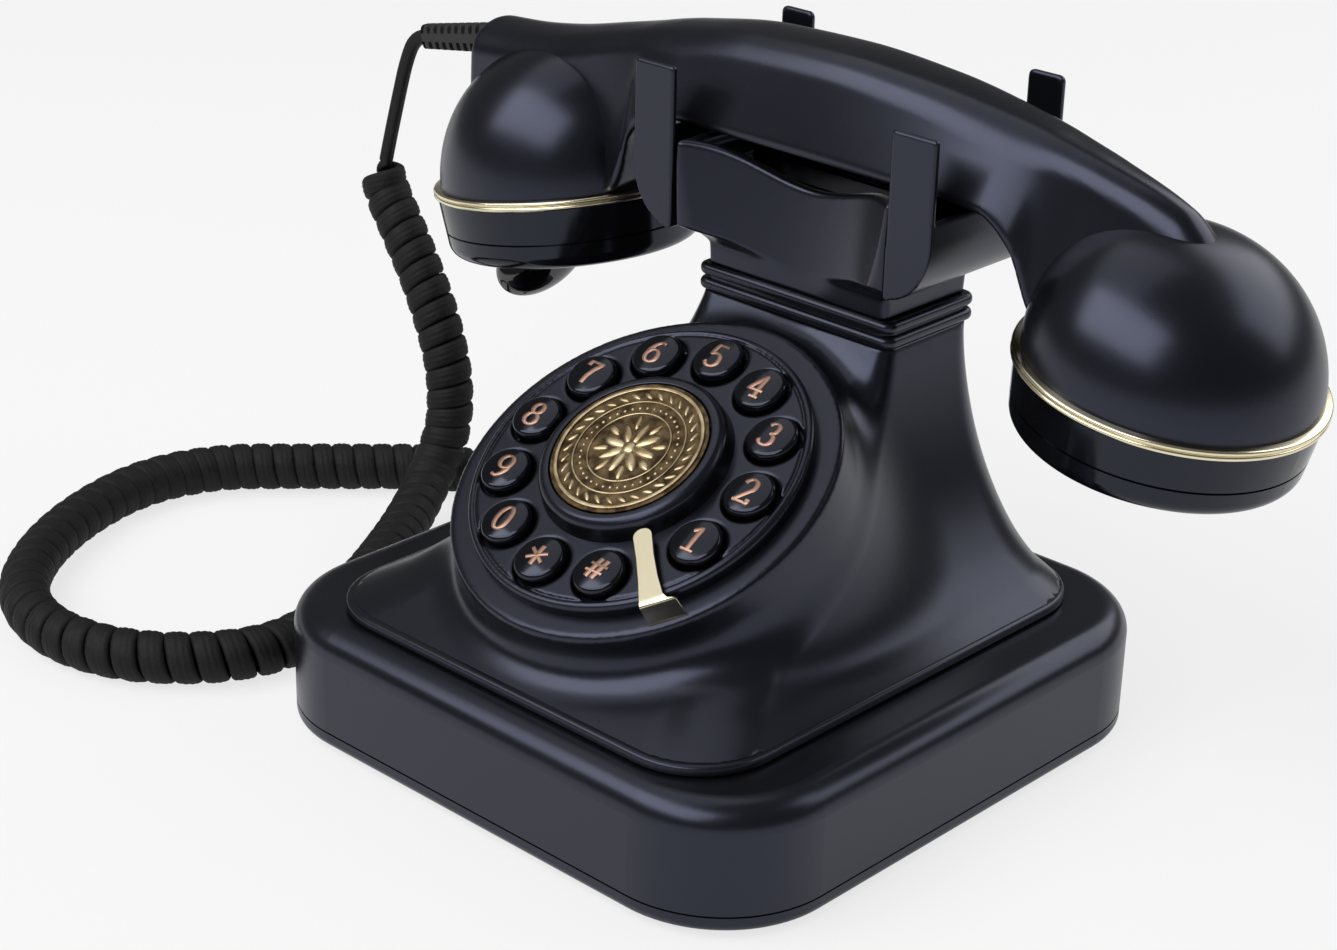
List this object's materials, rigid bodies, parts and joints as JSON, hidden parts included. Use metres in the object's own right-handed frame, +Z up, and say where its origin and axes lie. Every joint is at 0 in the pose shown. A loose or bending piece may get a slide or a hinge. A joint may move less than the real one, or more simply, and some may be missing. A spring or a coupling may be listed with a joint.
{
  "type": "push-button desk telephone",
  "caption": "Black retro desk telephone with a square plinth, a tilted round push-button dial, a forked cradle and a corded arched handset.",
  "frame": {"origin": "on the table, under the middle of the base", "axes": "+Z up, the dial faces -Y, the handset lies along X with the mouthpiece at -X"},
  "size_m": [0.2977, 0.1674, 0.145],
  "materials": {
    "satin_black": "satin",
    "gloss_black": "gloss",
    "polished_gold": "polished",
    "antique_brass": "antiqued",
    "black_rubber": "matte",
    "cord_black": "matte, ribbed",
    "jack_black": "matte",
    "clear_plug": "gloss",
    "steel": "zinc plated",
    "circuit_board": "matte",
    "capsule_grey": "matte"
  },
  "bodies": {
    "base": {"bottom_plate": "satin_black", "rubber_feet": "black_rubber", "base_screws": "steel", "plinth_shell": "satin_black", "upper_housing": "satin_black", "key_plate": "satin_black", "finger_stop": "polished_gold", "dome_mat": "black_rubber", "keypad_board": "circuit_board", "neck_collar": "satin_black", "head_block": "satin_black", "hook_spring": "steel", "switch_bracket": "steel", "hook_switch": "circuit_board", "main_board": "circuit_board", "ballast_plate": "steel", "ringer": "steel", "line_jack": "jack_black", "handset_jack": "jack_black", "cord_plug": "clear_plug", "curly_cord": "cord_black", "handset_lead": "cord_black", "base_lead": "cord_black"},
    "fork": {"fork_right": "satin_black", "fork_left": "satin_black", "fork_crossbar": "satin_black"},
    "handset": {"handset_shell": "satin_black", "handset_weight": "steel", "ear_ring": "polished_gold", "mouth_ring": "polished_gold", "ear_cap": "gloss_black", "mouth_cap": "gloss_black", "mouth_spout": "gloss_black", "receiver": "capsule_grey", "microphone": "capsule_grey", "strain_relief": "black_rubber"},
    "medallion": {"medallion": "antique_brass"},
    "key_1": {"key_1": "gloss_black"},
    "key_2": {"key_2": "gloss_black"},
    "key_3": {"key_3": "gloss_black"},
    "key_4": {"key_4": "gloss_black"},
    "key_5": {"key_5": "gloss_black"},
    "key_6": {"key_6": "gloss_black"},
    "key_7": {"key_7": "gloss_black"},
    "key_8": {"key_8": "gloss_black"},
    "key_9": {"key_9": "gloss_black"},
    "key_0": {"key_0": "gloss_black"},
    "key_star": {"key_star": "gloss_black"},
    "key_hash": {"key_hash": "gloss_black"}
  },
  "joints": [
    {"name": "handset_lift", "type": "slide", "parent": "base", "child": "handset", "axis": [0, 0, 1], "range_m": [0, 0.06]},
    {"name": "fork_rise", "type": "slide", "parent": "base", "child": "fork", "axis": [0, 0, 1], "range_m": [0, 0.004], "deforming": ["hook_spring"]},
    {"name": "medallion_rock", "type": "hinge", "parent": "base", "child": "medallion", "pos_m": [0, -0.02611, 0.0702], "axis": [1, 0, 0], "range_deg": [-3, 3], "stiffness_Nm_per_rad": 0.08},
    {"name": "press_1", "type": "slide", "parent": "base", "child": "key_1", "axis": [0, 0.503, -0.8643], "range_m": [0, 0.0012], "stiffness_N_per_m": 300},
    {"name": "press_2", "type": "slide", "parent": "base", "child": "key_2", "axis": [0, 0.503, -0.8643], "range_m": [0, 0.0012], "stiffness_N_per_m": 300},
    {"name": "press_3", "type": "slide", "parent": "base", "child": "key_3", "axis": [0, 0.503, -0.8643], "range_m": [0, 0.0012], "stiffness_N_per_m": 300},
    {"name": "press_4", "type": "slide", "parent": "base", "child": "key_4", "axis": [0, 0.503, -0.8643], "range_m": [0, 0.0012], "stiffness_N_per_m": 300},
    {"name": "press_5", "type": "slide", "parent": "base", "child": "key_5", "axis": [0, 0.503, -0.8643], "range_m": [0, 0.0012], "stiffness_N_per_m": 300},
    {"name": "press_6", "type": "slide", "parent": "base", "child": "key_6", "axis": [0, 0.503, -0.8643], "range_m": [0, 0.0012], "stiffness_N_per_m": 300},
    {"name": "press_7", "type": "slide", "parent": "base", "child": "key_7", "axis": [0, 0.503, -0.8643], "range_m": [0, 0.0012], "stiffness_N_per_m": 300},
    {"name": "press_8", "type": "slide", "parent": "base", "child": "key_8", "axis": [0, 0.503, -0.8643], "range_m": [0, 0.0012], "stiffness_N_per_m": 300},
    {"name": "press_9", "type": "slide", "parent": "base", "child": "key_9", "axis": [0, 0.503, -0.8643], "range_m": [0, 0.0012], "stiffness_N_per_m": 300},
    {"name": "press_0", "type": "slide", "parent": "base", "child": "key_0", "axis": [0, 0.503, -0.8643], "range_m": [0, 0.0012], "stiffness_N_per_m": 300},
    {"name": "press_star", "type": "slide", "parent": "base", "child": "key_star", "axis": [0, 0.503, -0.8643], "range_m": [0, 0.0012], "stiffness_N_per_m": 300},
    {"name": "press_hash", "type": "slide", "parent": "base", "child": "key_hash", "axis": [0, 0.503, -0.8643], "range_m": [0, 0.0012], "stiffness_N_per_m": 300}
  ],
  "couplings": [
    {"joint": "fork_rise", "follows": "handset_lift", "ratio": 0.066667}
  ]
}
